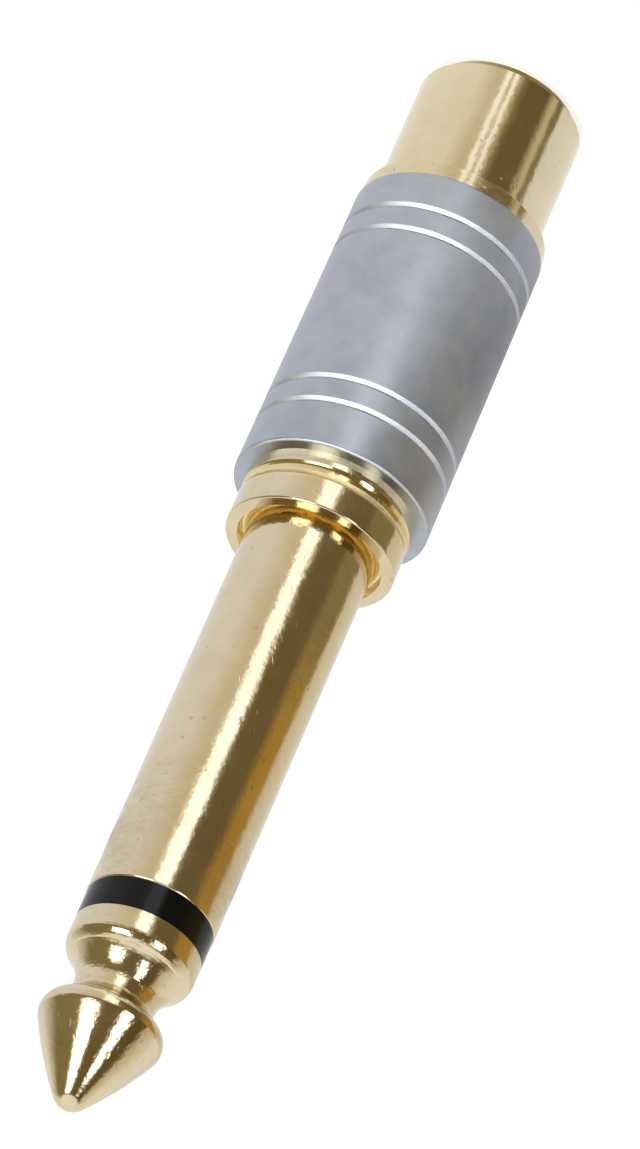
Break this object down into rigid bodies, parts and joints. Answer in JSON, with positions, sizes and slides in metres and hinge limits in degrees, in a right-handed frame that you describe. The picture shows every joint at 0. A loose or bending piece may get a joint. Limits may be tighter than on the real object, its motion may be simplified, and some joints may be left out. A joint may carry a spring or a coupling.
{
  "type": "jack to rca adapter",
  "caption": "Straight audio adapter: a gold-plated 6.35 mm two-pole jack plug on a grooved grey metal shell, with a phono (RCA) socket in line at the other end.",
  "frame": {"origin": "centre of the phono socket's rim, which the adapter stands on", "axes": "+Z along the adapter's axis towards the jack plug's tip; X and Y are square to it, through the contact's slots"},
  "size_m": [0.0098, 0.0098, 0.0603],
  "materials": {
    "socket_plating": "bright gold plating on turned brass",
    "contact_plating": "bright gold plating on a slotted brass tube",
    "shell_nickel": "satin grey nickel plating",
    "shaft_plating": "bright gold plating with fine pits",
    "tip_plating": "bright gold plating on turned brass",
    "rod_brass": "plain drawn brass",
    "fixing_steel": "zinc-plated steel",
    "ring_plastic": "black moulded plastic",
    "socket_plastic": "white moulded plastic",
    "bush_plastic": "natural moulded plastic"
  },
  "bodies": {
    "root": {"rca_barrel": "socket_plating", "socket_insulator": "socket_plastic", "centre_contact": "contact_plating", "body_shell": "shell_nickel", "jack_barrel": "shaft_plating", "rear_bush": "bush_plastic", "rod_washer": "fixing_steel", "rod_nut": "fixing_steel", "centre_rod": "rod_brass", "rod_liner": "bush_plastic", "tip_ring": "ring_plastic", "jack_tip": "tip_plating"}
  },
  "joints": []
}
